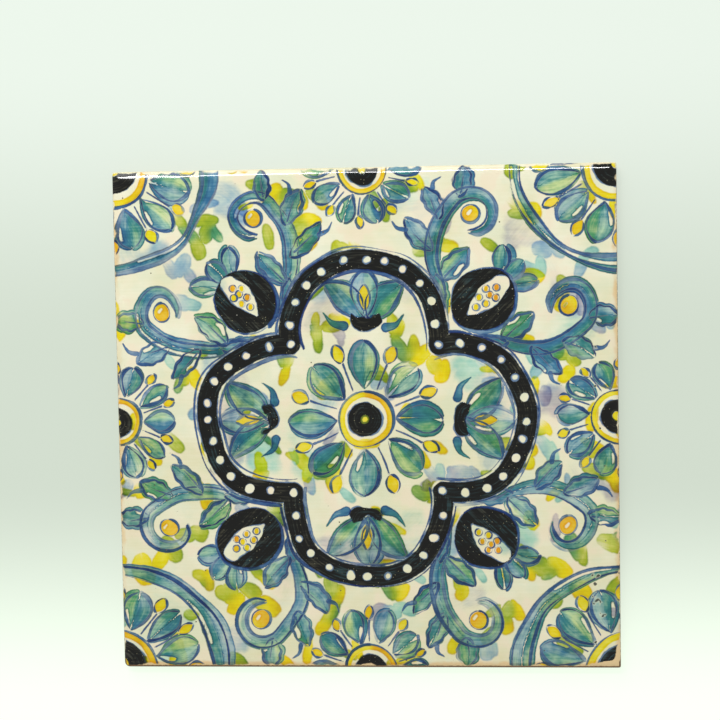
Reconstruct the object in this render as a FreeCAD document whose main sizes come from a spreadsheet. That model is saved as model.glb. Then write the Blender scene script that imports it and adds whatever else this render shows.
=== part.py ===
"""A square glazed wall tile, pressed and fired as one piece.

The glazed face looks up, along +Z, and the tile lies on its keyed back. The origin is the middle
of the back. The face has a cushioned edge: a wide shallow curve that ends in a tight glaze lip.
Below the lip a short straight rim butts against the neighbouring tiles, and the sides then slope
in to the back, which leaves room for bedding mortar. The back has rows of shallow square cells
between ribs, to key it to the wall, inside a plain border. One corner is worn rounder than the rest.
"""

import FreeCAD
import Part
import math
import os
import Sketcher

DEGREES = math.pi / 180

# The driving dimensions, in millimetres, apart from the one angle.
SIZES = [
    ("tile_width", 200.0, "left to right across the glazed rim"),
    ("tile_length", 200.0, "top to bottom across the glazed rim"),
    ("tile_thickness", 8.0, "from the ribs of the back to the glazed face"),
    ("rim_height", 2.4, "from the glazed face down to where the sides start to slope"),
    ("back_inset", 1.0, "how far each side slopes in towards the back"),
    ("corner_radius", 0.8, "plan radius of three corners"),
    ("worn_corner_radius", 2.2, "plan radius of the worn corner, at the lower left of the face"),
    ("cushion_width", 3.0, "how far in from the rim the face starts to curve down"),
    ("cushion_radius", 6.0, "radius of the wide shallow curve of the cushioned edge"),
    ("lip_radius", 0.6, "radius of the glaze lip that ends the cushioned edge"),
    ("back_ease", 0.5, "width and height of the eased edge round the back"),
    ("key_cell", 15.0, "side of one keying cell at the back's surface"),
    ("key_cell_radius", 2.0, "corner radius of a keying cell"),
    ("key_rib", 3.0, "width of the ribs between the cells"),
    ("key_depth", 1.0, "depth of the cells"),
    ("key_taper", 25.0, "slope of the cell walls, in degrees"),
    ("key_margin", 9.0, "least width of the plain border round the cells"),
    ("cutter_clearance", 1.0, "how far the edge cutter reaches past the tile"),
]


def make_sheet(doc):
    """The spreadsheet that every sketch and feature takes its sizes from."""
    sheet = doc.addObject("Spreadsheet::Sheet", "Sizes")
    for row, (alias, value, meaning) in enumerate(SIZES, start=1):
        sheet.set(f"A{row}", meaning)
        sheet.set(f"B{row}", str(value))
        sheet.setAlias(f"B{row}", alias)
    doc.recompute()
    return sheet


def origin_feature(body, role):
    """One of the body's own planes or axes."""
    return next(item for item in body.Origin.OriginFeatures if item.Role == role)


def new_sketch(body, name, plane):
    """An empty sketch on one of the body's origin planes."""
    sketch = body.newObject("Sketcher::SketchObject", name)
    sketch.AttachmentSupport = [(origin_feature(body, plane), "")]
    sketch.MapMode = "FlatFace"
    return sketch


def name_dimension(sketch, constraint, name, formula):
    """Adds a dimension and ties it to the sheet."""
    index = sketch.addConstraint(constraint)
    sketch.renameConstraint(index, name)
    sketch.setExpression(f"Constraints.{name}", formula)


def line(sketch, start, end):
    return sketch.addGeometry(Part.LineSegment(FreeCAD.Vector(*start, 0), FreeCAD.Vector(*end, 0)), False)


def arc(sketch, centre, radius, start_angle, end_angle):
    circle = Part.Circle(FreeCAD.Vector(*centre, 0), FreeCAD.Vector(0, 0, 1), radius)
    return sketch.addGeometry(Part.ArcOfCircle(circle, start_angle * DEGREES, end_angle * DEGREES), False)


def rounded_rectangle(sketch, left, bottom, right, top, radius, lower_left_radius):
    """Four sides and four corner arcs, tangent to each other all the way round.

    The geometry is, in order, the bottom, right, top and left sides, and then the corners at the
    lower right, upper right, upper left and lower left.
    """
    low = lower_left_radius
    sides = [
        line(sketch, (left + low, bottom), (right - radius, bottom)),
        line(sketch, (right, bottom + radius), (right, top - radius)),
        line(sketch, (right - radius, top), (left + radius, top)),
        line(sketch, (left, top - radius), (left, bottom + low)),
    ]
    corners = [
        arc(sketch, (right - radius, bottom + radius), radius, -90, 0),
        arc(sketch, (right - radius, top - radius), radius, 0, 90),
        arc(sketch, (left + radius, top - radius), radius, 90, 180),
        arc(sketch, (left + low, bottom + low), low, 180, 270),
    ]
    for number, corner in enumerate(corners):
        following_side = sides[(number + 1) % 4]
        sketch.addConstraint(Sketcher.Constraint("Tangent", sides[number], 2, corner, 1))
        sketch.addConstraint(Sketcher.Constraint("Tangent", corner, 2, following_side, 1))
    for side, direction in zip(sides, ("Horizontal", "Vertical", "Horizontal", "Vertical")):
        sketch.addConstraint(Sketcher.Constraint(direction, side))
    sketch.addConstraint(Sketcher.Constraint("Equal", corners[0], corners[1]))
    sketch.addConstraint(Sketcher.Constraint("Equal", corners[0], corners[2]))
    return sides, corners


def tile_outline(body, sheet, name, height_formula, inset, inset_formula):
    """An outline of the tile, inset all round from the rim, on a plane at some height."""
    sketch = new_sketch(body, name, "XY_Plane")
    sketch.setExpression("AttachmentOffset.Base.z", height_formula)
    half_width = sheet.tile_width / 2 - inset
    half_length = sheet.tile_length / 2 - inset
    sides, corners = rounded_rectangle(
        sketch,
        -half_width,
        -half_length,
        half_width,
        half_length,
        sheet.corner_radius,
        sheet.worn_corner_radius,
    )
    bottom, right, top, left = sides
    across = f"Sizes.tile_width / 2 - {inset_formula}"
    along = f"Sizes.tile_length / 2 - {inset_formula}"
    dimensions = [
        (("DistanceX", -1, 1, right, 1, half_width), "right_side", across),
        (("DistanceX", left, 1, -1, 1, half_width), "left_side", across),
        (("DistanceY", -1, 1, top, 1, half_length), "top_side", along),
        (("DistanceY", bottom, 1, -1, 1, half_length), "bottom_side", along),
        (("Radius", corners[0], sheet.corner_radius), "corner_radius", "Sizes.corner_radius"),
        (("Radius", corners[3], sheet.worn_corner_radius), "worn_corner", "Sizes.worn_corner_radius"),
    ]
    for constraint, dimension, formula in dimensions:
        name_dimension(sketch, Sketcher.Constraint(*constraint), dimension, formula)
    return sketch


def loft(body, name, lower, upper):
    """The straight-sided solid between two outlines."""
    solid = body.newObject("PartDesign::AdditiveLoft", name)
    solid.Profile = lower
    solid.Sections = [upper]
    solid.Ruled = True
    return solid


def add_slab(body, sheet):
    """The eased edge of the back, the sides that slope out from it, and the straight rim on top."""
    back_inset = sheet.back_inset + sheet.back_ease
    inset_formula = "(Sizes.back_inset + Sizes.back_ease)"
    back = tile_outline(body, sheet, "BackOutline", "0", back_inset, inset_formula)
    ease_height = "Sizes.back_ease"
    foot = tile_outline(body, sheet, "SideFoot", ease_height, sheet.back_inset, "Sizes.back_inset")
    shoulder_height = "Sizes.tile_thickness - Sizes.rim_height"
    shoulder = tile_outline(body, sheet, "RimOutline", shoulder_height, 0, "0")
    loft(body, "BackEdge", back, foot)
    loft(body, "SlopedSides", foot, shoulder)

    rim = body.newObject("PartDesign::Pad", "Rim")
    rim.Profile = shoulder
    rim.setExpression("Length", "Sizes.rim_height")
    return rim


def cushion_junction(sheet):
    """Where the wide curve meets the lip: the lip's centre height and the angle of the junction.

    The lip circle touches the wide circle from inside, so their centres are the difference of
    their radii apart.
    """
    across = sheet.cushion_width - sheet.lip_radius
    between_centres = sheet.cushion_radius - sheet.lip_radius
    up = math.sqrt(between_centres**2 - across**2)
    lip_height = sheet.tile_thickness - sheet.cushion_radius + up
    return lip_height, math.atan2(up, across) / DEGREES


def edge_cutter_profile(body, sheet, name, plane, half_size, half_formula):
    """The space above the cushioned edge, in a plane across the tile's side."""
    sketch = new_sketch(body, name, plane)
    top = sheet.tile_thickness
    lip_height, junction = cushion_junction(sheet)
    start = half_size - sheet.cushion_width
    outer = half_size + sheet.cutter_clearance
    upper = top + sheet.cutter_clearance

    wide = arc(sketch, (start, top - sheet.cushion_radius), sheet.cushion_radius, junction, 90)
    lip = arc(sketch, (half_size - sheet.lip_radius, lip_height), sheet.lip_radius, 0, junction)
    rise = line(sketch, (start, top), (start, upper))
    roof = line(sketch, (start, upper), (outer, upper))
    drop = line(sketch, (outer, upper), (outer, lip_height))
    sill = line(sketch, (outer, lip_height), (half_size, lip_height))

    sketch.addConstraint(Sketcher.Constraint("Tangent", lip, 2, wide, 1))
    joins = [(wide, 2, rise, 1), (rise, 2, roof, 1), (roof, 2, drop, 1), (drop, 2, sill, 1), (sill, 2, lip, 1)]
    for join in joins:
        sketch.addConstraint(Sketcher.Constraint("Coincident", *join))
    sketch.addConstraint(Sketcher.Constraint("Vertical", wide, 2, wide, 3))
    sketch.addConstraint(Sketcher.Constraint("Horizontal", lip, 1, lip, 3))
    for side, direction in ((rise, "Vertical"), (roof, "Horizontal"), (drop, "Vertical"), (sill, "Horizontal")):
        sketch.addConstraint(Sketcher.Constraint(direction, side))

    dimensions = [
        (("DistanceX", -1, 1, lip, 1, half_size), "rim", half_formula),
        (("DistanceX", rise, 1, lip, 1, sheet.cushion_width), "cushion_width", "Sizes.cushion_width"),
        (("DistanceY", -1, 1, rise, 1, top), "face_height", "Sizes.tile_thickness"),
        (("Radius", wide, sheet.cushion_radius), "cushion_radius", "Sizes.cushion_radius"),
        (("Radius", lip, sheet.lip_radius), "lip_radius", "Sizes.lip_radius"),
        (("DistanceX", sill, 2, sill, 1, sheet.cutter_clearance), "overhang", "Sizes.cutter_clearance"),
        (("DistanceY", rise, 1, rise, 2, sheet.cutter_clearance), "headroom", "Sizes.cutter_clearance"),
    ]
    for constraint, dimension, formula in dimensions:
        name_dimension(sketch, Sketcher.Constraint(*constraint), dimension, formula)
    return sketch


def cushion_edges(body, profile, mirror_plane, length_formula, name):
    """Cuts the cushioned edge along one side, and its mirror image along the opposite side."""
    cut = body.newObject("PartDesign::Pocket", name)
    cut.Profile = profile
    cut.SideType = "Symmetric"
    cut.setExpression("Length", f"{length_formula} + 2 * Sizes.cutter_clearance")
    opposite = body.newObject("PartDesign::Mirrored", f"{name}Opposite")
    opposite.Originals = [cut]
    opposite.MirrorPlane = (origin_feature(body, mirror_plane), [""])
    body.Tip = opposite
    return opposite


def count_formula(size):
    """How many cells fit between the plain borders, along one side of the back."""
    room = f"Sizes.{size} - 2 * Sizes.back_inset - 2 * Sizes.key_margin + Sizes.key_rib"
    return f"floor(({room}) / (Sizes.key_cell + Sizes.key_rib))"


def span_formula(size):
    """From the first cell of a row to the last, corner to like corner."""
    return f"({count_formula(size)} - 1) * (Sizes.key_cell + Sizes.key_rib)"


def key_cell_outline(body, sheet):
    """The keying cell at the back's lower left, which the pattern then repeats."""
    sketch = new_sketch(body, "KeyCell", "XY_Plane")
    cell = sheet.key_cell
    radius = sheet.key_cell_radius
    left = -sheet.tile_width / 2 + sheet.back_inset + sheet.key_margin
    bottom = -sheet.tile_length / 2 + sheet.back_inset + sheet.key_margin
    sides, corners = rounded_rectangle(sketch, left, bottom, left + cell, bottom + cell, radius, radius)
    lower, right, upper, left_side = sides
    sketch.addConstraint(Sketcher.Constraint("Equal", corners[0], corners[3]))
    first_x = f"({span_formula('tile_width')} + Sizes.key_cell) / 2"
    first_y = f"({span_formula('tile_length')} + Sizes.key_cell) / 2"
    dimensions = [
        (("Radius", corners[0], radius), "corner_radius", "Sizes.key_cell_radius"),
        (("DistanceX", left_side, 1, right, 1, cell), "cell_width", "Sizes.key_cell"),
        (("DistanceY", lower, 1, upper, 1, cell), "cell_length", "Sizes.key_cell"),
        (("DistanceX", left_side, 1, -1, 1, -left), "first_column", first_x),
        (("DistanceY", lower, 1, -1, 1, -bottom), "first_row", first_y),
    ]
    for constraint, dimension, formula in dimensions:
        name_dimension(sketch, Sketcher.Constraint(*constraint), dimension, formula)
    return sketch


def key_back(body, cell_outline):
    """Presses the rows of shallow cells into the back."""
    cell = body.newObject("PartDesign::Pocket", "KeyPocket")
    cell.Profile = cell_outline
    cell.Reversed = True
    cell.setExpression("Length", "Sizes.key_depth")
    cell.setExpression("TaperAngle", "-Sizes.key_taper")

    rows = body.newObject("PartDesign::LinearPattern", "KeyRows")
    rows.Originals = [cell]
    rows.Direction = (origin_feature(body, "X_Axis"), [""])
    rows.Direction2 = (origin_feature(body, "Y_Axis"), [""])
    rows.setExpression("Length", span_formula("tile_width"))
    rows.setExpression("Occurrences", count_formula("tile_width"))
    rows.setExpression("Length2", span_formula("tile_length"))
    rows.setExpression("Occurrences2", count_formula("tile_length"))
    rows.Refine = False
    body.Tip = rows
    return rows


def build_tile(doc, sheet):
    """The whole tile, which is one fired piece."""
    body = doc.addObject("PartDesign::Body", "Tile")
    body.Label = "tile"
    body.Tip = add_slab(body, sheet)
    half_width = sheet.tile_width / 2
    half_length = sheet.tile_length / 2
    side_profile = edge_cutter_profile(
        body, sheet, "SideEdgeProfile", "XZ_Plane", half_width, "Sizes.tile_width / 2"
    )
    cushion_edges(body, side_profile, "YZ_Plane", "Sizes.tile_length", "SideEdge")
    end_profile = edge_cutter_profile(
        body, sheet, "EndEdgeProfile", "YZ_Plane", half_length, "Sizes.tile_length / 2"
    )
    cushion_edges(body, end_profile, "XZ_Plane", "Sizes.tile_width", "EndEdge")
    key_back(body, key_cell_outline(body, sheet))
    return body


def check(doc, parts):
    """Stops if any feature failed or any part isn't a sound solid."""
    for item in doc.Objects:
        if "Invalid" in item.State or "Error" in item.State:
            raise RuntimeError(f"{item.Label} failed: {item.State}")
    for part in parts:
        shape = part.Shape
        if shape.isNull() or not shape.isValid() or len(shape.Solids) != 1:
            raise RuntimeError(f"{part.Label} isn't one sound solid")


def main():
    doc = FreeCAD.newDocument("GlazedTile")
    sheet = make_sheet(doc)
    parts = [build_tile(doc, sheet)]
    doc.recompute()
    check(doc, parts)
    os.makedirs("parts", exist_ok=True)
    for part in parts:
        part.Shape.exportStep(f"parts/{part.Label}.step")
        box = part.Shape.BoundBox
        size = f"{box.XLength:.3f} x {box.YLength:.3f} x {box.ZLength:.3f} mm"
        print(f"{part.Label}: {size}, {part.Shape.Volume / 1000:.2f} cm3, {len(part.Shape.Faces)} faces")


main()
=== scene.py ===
"""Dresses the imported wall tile: its glaze, its hand-painted face and its biscuit back, on a plain floor.

The face is a dense grid that carries the paint as coats, the way a tile painter works: pale veils and
soft dabs first, then washes, warm fills, cobalt outlines and black. Each coat keeps, for every small
cell of the grid, how far its corners are from the edge of the nearest brush mark, and the glaze
material turns that distance into pooled, streaked and ragged paint.
"""

import math
from typing import NamedTuple

import bmesh
import bpy
import numpy as np
from bpy.props import FloatProperty, FloatVectorProperty, IntProperty, PointerProperty
from mathutils import Matrix, Vector, noise


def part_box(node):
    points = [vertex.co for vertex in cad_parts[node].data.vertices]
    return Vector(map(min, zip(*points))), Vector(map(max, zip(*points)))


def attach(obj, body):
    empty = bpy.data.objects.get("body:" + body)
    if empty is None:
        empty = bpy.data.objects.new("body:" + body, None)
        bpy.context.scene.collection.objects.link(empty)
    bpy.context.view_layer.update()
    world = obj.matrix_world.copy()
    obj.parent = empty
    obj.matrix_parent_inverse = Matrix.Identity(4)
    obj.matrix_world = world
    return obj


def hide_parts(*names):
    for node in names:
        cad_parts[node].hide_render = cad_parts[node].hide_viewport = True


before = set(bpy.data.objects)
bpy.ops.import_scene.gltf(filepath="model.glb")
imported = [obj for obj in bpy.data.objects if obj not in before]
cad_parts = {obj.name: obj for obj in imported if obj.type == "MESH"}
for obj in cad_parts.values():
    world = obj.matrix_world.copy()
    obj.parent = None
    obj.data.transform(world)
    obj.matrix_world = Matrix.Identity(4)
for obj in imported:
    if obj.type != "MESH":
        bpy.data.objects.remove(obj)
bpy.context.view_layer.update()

bl_info = {
    "name": "Painted Wall Tile",
    "version": (1, 0, 0),
    "blender": (4, 5, 0),
    "location": "3D View > Sidebar > Tile",
    "description": "Builds a hand-painted glazed wall tile and a plain stage for it",
    "category": "Object",
}

NODE = "tile"
MM = 0.001


def linear(hex_colour):
    """The linear values of an sRGB hex colour."""
    channels = [int(hex_colour[place:place + 2], 16) / 255 for place in (1, 3, 5)]
    return [c / 12.92 if c <= 0.04045 else ((c + 0.055) / 1.055) ** 2.4 for c in channels]


def length_setting(name, description, millimetres):
    """A length that the user sets, given here in millimetres."""
    return FloatProperty(name=name, description=description, default=millimetres * MM, min=0, unit="LENGTH")


def colour_setting(name, description, hex_colour):
    """A colour that the user sets, given here as sRGB hex."""
    return FloatVectorProperty(
        name=name, description=description, default=linear(hex_colour), subtype="COLOR", min=0, max=1
    )


def share_setting(name, description, share):
    """A share from 0 to 1 that the user sets."""
    return FloatProperty(name=name, description=description, default=share, min=0, max=1)


def power_setting(name, description, watts):
    """A lamp's power that the user sets, in watts."""
    return FloatProperty(name=name, description=description, default=watts, min=0, unit="POWER")


def count_setting(name, description, count):
    """A whole number that the user sets."""
    return IntProperty(name=name, description=description, default=count, min=0)


class TileForm(bpy.types.PropertyGroup):
    """The sizes of the fired piece that its overall box doesn't give."""

    cushion_width: length_setting("Cushion width", "How far in from the rim the face starts to curve", 3.0)
    cushion_radius: length_setting("Cushion radius", "Radius of the wide curve of the cushioned edge", 6.0)
    lip_radius: length_setting("Lip radius", "Radius of the glaze lip that ends the cushioned edge", 0.6)
    rim_height: length_setting("Rim height", "From the face down to where the sides slope in", 2.4)
    back_inset: length_setting("Back inset", "How far each side slopes in towards the back", 1.0)
    back_ease: length_setting("Back ease", "Width and height of the eased edge round the back", 0.5)
    corner_radius: length_setting("Corner radius", "Plan radius of three corners", 0.8)
    worn_radius: length_setting("Worn corner radius", "Plan radius of the worn lower left corner", 2.2)
    cell: length_setting("Keying cell", "Side of one keying cell at the back's surface", 15.0)
    rib: length_setting("Keying rib", "Width of the ribs between the cells", 3.0)
    cell_radius: length_setting("Cell corner radius", "Corner radius of a keying cell", 2.0)
    cell_depth: length_setting("Cell depth", "Depth of the keying cells", 1.0)
    cell_rows: count_setting("Cell rows", "Keying cells along each side", 10)
    face_cells: count_setting("Face cells", "Grid cells along each side of the face", 288)
    swell: length_setting("Edge swell", "How far the start of the cushioned edge wanders", 0.9)
    corner_spread: length_setting("Corner spread", "Extra cushion width by the upper left corner", 4.0)
    ripple: length_setting("Ripple", "Height of the slow waves in the glazed face", 0.06)
    pits: count_setting("Pits", "How many small craters the glaze has, mostly low and right", 22)
    pit_depth: length_setting("Pit depth", "Depth of the deepest crater", 0.25)


class TilePaint(bpy.types.PropertyGroup):
    """The glaze, the pigments as they look fired on it, and the painter's hand."""

    ground: colour_setting("Tin glaze", "The opaque cream ground", "#F0EED2")
    ground_warm: colour_setting("Warm ground", "Where the ground is thin over the body", "#DED9AC")
    ground_peach: colour_setting("Peach ground", "Where the body blushes through the glaze", "#F1DFC2")
    ground_mint: colour_setting("Mint ground", "Where pigment has bled into the glaze", "#D6E5CA")
    rim: colour_setting("Rim", "Where the glaze thins towards the rim", "#E6CA98")
    biscuit: colour_setting("Biscuit", "The unglazed body", "#D2A878")
    biscuit_dark: colour_setting("Burnt biscuit", "The body where it took more fire", "#7C6040")
    black: colour_setting("Black", "Manganese black, thickly laid", "#0E0F0C")
    line_width: length_setting("Line width", "Full width of an outline", 1.2)
    unsteady: length_setting("Unsteady hand", "How far a brush mark strays from its drawn place", 1.0)
    slip: length_setting("Slip", "How far a wash misses its outline", 0.5)
    dab_pitch: length_setting("Dab pitch", "How far apart the clusters of soft dabs are", 11.0)
    seed: count_setting("Seed", "Picks another run of the same painting", 7)


class TileStage(bpy.types.PropertyGroup):
    """The floor, the sky and the lamps."""

    # The floor's colours and paling are painted light: darker beside the tile, brighter towards the viewer.
    floor_far: colour_setting("Floor, far", "Floor beyond the top of the tile", "#EAF4E9")
    floor_middle: colour_setting("Floor, middle", "Floor beside the tile", "#D4DFD0")
    floor_light: share_setting("Floor light", "How much of the floor's colour is light of its own", 0.76)
    floor_paling: share_setting("Floor paling", "How much brighter the floor gets below the tile", 0.74)
    zenith: share_setting("Zenith", "Strength of the sky straight overhead", 0.35)
    horizon: share_setting("Horizon", "Strength of the sky at its foot", 0.6)
    key: power_setting("Key", "Power of the large soft lamp", 2.2)
    strip: power_setting("Strip", "Power of the thin lamp that the top edge mirrors", 5.4)


# The mesh

LIP_STEPS = 3
CUSHION_STEPS = 5


def edge_rings(form):
    """(inset, drop) of each ring of the cushioned edge, from the rim in to the flat of the face.

    The wide arc of the cushion is touched from inside by the tighter arc of the lip.
    """
    across = form.cushion_width - form.lip_radius
    between_centres = form.cushion_radius - form.lip_radius
    junction = math.acos(across / between_centres)
    lip_drop = form.cushion_radius - math.sqrt(between_centres**2 - across**2)
    rings = []
    for step in range(LIP_STEPS):
        angle = junction * step / LIP_STEPS
        inset = form.lip_radius * (1 - math.cos(angle))
        rings.append((inset, lip_drop - form.lip_radius * math.sin(angle)))
    for step in range(CUSHION_STEPS + 1):
        angle = junction + (math.pi / 2 - junction) * step / CUSHION_STEPS
        inset = form.cushion_width - form.cushion_radius * math.cos(angle)
        rings.append((inset, form.cushion_radius * (1 - math.sin(angle))))
    return rings


def line_place(index, cells, half, rings):
    """Where a grid line lies across the face, and how far the edge curve has dropped there."""
    nearest = min(index, cells - index)
    last = len(rings) - 1
    if nearest <= last:
        inset, drop = rings[nearest]
    else:
        inset = rings[last][0] + (half - rings[last][0]) * (nearest - last) / (cells / 2 - last)
        drop = 0.0
    side = -1 if index < cells / 2 else 1
    return side, inset, drop


SWELL_LENGTH = 34 * MM
SWELL_FADE = 14 * MM


def swollen(inset, wander, form):
    """The inset of a point near the rim, after the curve's start has wandered in or out."""
    if inset <= 0 or inset >= SWELL_FADE:
        return inset
    share = min(inset / form.cushion_width, (SWELL_FADE - inset) / (SWELL_FADE - form.cushion_width))
    return inset + share * wander


SPREAD_PLACE = 15 * MM
SPREAD_REACH = 11 * MM


def wanders(side_x, side_y, x, y, half_x, form):
    """How far the edge curve's start wanders at a point, inwards from the nearer side and top or bottom."""
    from_side = form.swell * noise.noise(Vector((y / SWELL_LENGTH, side_x * 3.7, 0.0)))
    from_end = form.swell * noise.noise(Vector((x / SWELL_LENGTH, side_y * 3.7, 9.0)))
    if side_y > 0:
        from_place = (x + half_x - SPREAD_PLACE) / SPREAD_REACH
        from_end += form.corner_spread * math.exp(-from_place**2)
    return from_side, from_end


def round_corner(x, y, half_x, half_y, form):
    """Pulls a point of a square corner onto rings that end in the corner's arc."""
    radius = form.worn_radius if x < 0 and y < 0 else form.corner_radius
    over_x = abs(x) - (half_x - radius)
    over_y = abs(y) - (half_y - radius)
    if over_x <= 0 or over_y <= 0:
        return x, y
    pull = max(over_x, over_y) / math.hypot(over_x, over_y)
    x = math.copysign(half_x - radius + over_x * pull, x)
    y = math.copysign(half_y - radius + over_y * pull, y)
    return x, y


RIPPLE_LENGTH = 45 * MM


def sink(x, y, form):
    """How far below the ideal surface the melted glaze lies."""
    return form.ripple * (0.5 + 0.5 * noise.noise(Vector((x / RIPPLE_LENGTH, y / RIPPLE_LENGTH, 5.1))))


def add_face(bm, form, half_x, half_y, thickness):
    """The glazed face with its cushioned edge, down to the foot of the lip."""
    cells = form.face_cells
    rings = edge_rings(form)
    bmesh.ops.create_grid(bm, x_segments=cells, y_segments=cells, size=1.0)
    for vert in bm.verts:
        column = round((vert.co.x + 1) / 2 * cells)
        row = round((vert.co.y + 1) / 2 * cells)
        side_x, inset_x, drop_x = line_place(column, cells, half_x, rings)
        side_y, inset_y, drop_y = line_place(row, cells, half_y, rings)
        plain_x = side_x * (half_x - inset_x)
        plain_y = side_y * (half_y - inset_y)
        from_side, from_end = wanders(side_x, side_y, plain_x, plain_y, half_x, form)
        x = side_x * (half_x - swollen(inset_x, from_side, form))
        y = side_y * (half_y - swollen(inset_y, from_end, form))
        x, y = round_corner(x, y, half_x, half_y, form)
        foot = min(1.0, min(inset_x, inset_y) / form.lip_radius)
        drop = max(drop_x, drop_y) + foot * sink(x, y, form)
        vert.co = (x, y, thickness - drop)


def draw_in(bm, loop, height, inset_before, inset, half_x, half_y):
    """Pulls an open edge to a new height and inset, and returns the edge's new loop."""
    pulled = bmesh.ops.extrude_edge_only(bm, edges=loop)["geom"]
    for vert in (item for item in pulled if isinstance(item, bmesh.types.BMVert)):
        vert.co.x *= (half_x - inset) / (half_x - inset_before)
        vert.co.y *= (half_y - inset) / (half_y - inset_before)
        vert.co.z = height
    return [item for item in pulled if isinstance(item, bmesh.types.BMEdge)]


def add_sides(bm, form, half_x, half_y, thickness):
    """The straight rim, the sides that slope in below it, and the eased edge of the back."""
    loop = [edge for edge in bm.edges if edge.is_boundary]
    shoulder = thickness - form.rim_height
    steps = [
        ((thickness - form.cushion_width / 2 + shoulder) / 2, 0.0),
        (shoulder, 0.0),
        (form.back_ease, form.back_inset),
        (0.0, form.back_inset + form.back_ease),
    ]
    inset_before = 0.0
    for height, inset in steps:
        loop = draw_in(bm, loop, height, inset_before, inset, half_x, half_y)
        inset_before = inset
    return loop


CELL_TAPER = math.radians(25)
CELL_CORNER_STEPS = 3


def add_back(bm, form, side_loop):
    """The plain border and the rows of keying cells, which a press leaves in the back."""
    pitch = form.cell + form.rib
    rows = form.cell_rows
    made = bmesh.ops.create_grid(bm, x_segments=rows, y_segments=rows, size=rows * pitch / 2)["verts"]
    squares = list({face for vert in made for face in vert.link_faces})
    bmesh.ops.reverse_faces(bm, faces=squares)
    rim = [edge for edge in {edge for vert in made for edge in vert.link_edges} if edge.is_boundary]
    bmesh.ops.triangle_fill(bm, edges=side_loop + rim, use_beauty=True, normal=(0, 0, -1))
    bmesh.ops.inset_individual(bm, faces=squares, thickness=form.rib / 2, use_even_offset=True)
    corners = list({vert for face in squares for vert in face.verts})
    bmesh.ops.bevel(
        bm,
        geom=corners,
        offset=form.cell_radius,
        segments=CELL_CORNER_STEPS,
        profile=0.5,
        affect="VERTICES",
        material=-1,
    )
    floors = [face for face in bm.faces if face.calc_area() > form.cell**2 / 2]
    bmesh.ops.inset_individual(
        bm,
        faces=floors,
        thickness=form.cell_depth * math.tan(CELL_TAPER),
        depth=-form.cell_depth,
        use_even_offset=True,
    )


def pit_places(form, half_x, half_y):
    """Where the glaze has craters, with each one's radius and depth: a string by the lower right corner."""
    rng = np.random.default_rng(31)
    pits = []
    for number in range(form.pits):
        radius = rng.uniform(0.38, 0.68) * MM
        depth = form.pit_depth * rng.uniform(0.4, 1.0)
        along = (rng.uniform(9, 38) if number % 6 else rng.uniform(20, 180)) * MM
        inset = (9 + 1.6 * math.sin(along / (4 * MM)) + rng.normal(0, 0.8)) * MM
        pits.append((half_x - inset, along - half_y, radius, depth))
    return pits


def pit_face(mesh, form, half_x, half_y, floor):
    """Presses the craters into the face, and keeps on the mesh how deep in one each vertex lies."""
    places = np.empty(len(mesh.vertices) * 3, np.float32)
    mesh.vertices.foreach_get("co", places)
    places = places.reshape(-1, 3)
    depth_share = np.zeros(len(places), np.float32)
    on_face = places[:, 2] > floor
    for x, y, radius, depth in pit_places(form, half_x, half_y):
        gap = np.hypot(places[:, 0] - x, places[:, 1] - y)
        share = on_face * np.clip(1 - gap / (2 * radius), 0, 1)
        places[:, 2] -= depth * share**2
        depth_share = np.maximum(depth_share, share)
    mesh.vertices.foreach_set("co", places.ravel())
    mesh.attributes.new("pit", "FLOAT", "POINT").data.foreach_set("value", depth_share)


GLAZED, BARE = 0, 1
SHARP = math.radians(30)


def tile_mesh(form, low, high):
    """The whole fired piece, with the glaze on its face and rim and bare clay below."""
    half_x, half_y = (high.x - low.x) / 2, (high.y - low.y) / 2
    thickness = high.z - low.z
    bm = bmesh.new()
    add_face(bm, form, half_x, half_y, thickness)
    side_loop = add_sides(bm, form, half_x, half_y, thickness)
    add_back(bm, form, side_loop)
    bmesh.ops.recalc_face_normals(bm, faces=bm.faces)
    shoulder = thickness - form.rim_height
    for face in bm.faces:
        face.smooth = True
        face.material_index = BARE if face.calc_center_median().z < shoulder else GLAZED
    mesh = bpy.data.meshes.new(NODE)
    bm.to_mesh(mesh)
    bm.free()
    pit_face(mesh, form, half_x, half_y, thickness - form.cushion_width / 2)
    mesh.set_sharp_from_angle(angle=SHARP)
    return mesh


# The brushwork, in millimetres on the face

FAR = 30.0
REACH = 5.0
CELL = 0.75
HAND_LENGTH = 22.0


def flowing(points, closed=False, steps=8):
    """A smooth path through a few given points."""
    points = np.asarray(points, float)
    if closed:
        run = np.vstack([points[-1:], points, points[:2]])
    else:
        run = np.vstack([2 * points[:1] - points[1:2], points, 2 * points[-1:] - points[-2:-1]])
    before, start, end, after = (part[:, None] for part in (run[:-3], run[1:-2], run[2:-1], run[3:]))
    t = np.linspace(0, 1, steps, endpoint=False)[None, :, None]
    cubic = 3 * start - before - 3 * end + after
    square = 2 * before - 5 * start + 4 * end - after
    path = (start + 0.5 * t * (end - before + t * (square + t * cubic))).reshape(-1, 2)
    return path if closed else np.vstack([path, points[-1:]])


def placed(points, base=(0.0, 0.0), turn=0.0):
    """Points turned about the origin, in degrees anticlockwise, and then moved to their base."""
    cosine, sine = math.cos(math.radians(turn)), math.sin(math.radians(turn))
    return np.asarray(points, float) @ np.array([[cosine, sine], [-sine, cosine]]) + np.asarray(base, float)


def reached_lengths(path):
    """How far along a path each of its points is."""
    return np.concatenate([[0], np.hypot(*np.diff(path, axis=0).T).cumsum()])


def graded(ends, share):
    """A value that runs from the first of two ends to the second, or one value all along."""
    start, end = np.broadcast_to(ends, 2)
    return start + (end - start) * share


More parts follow.
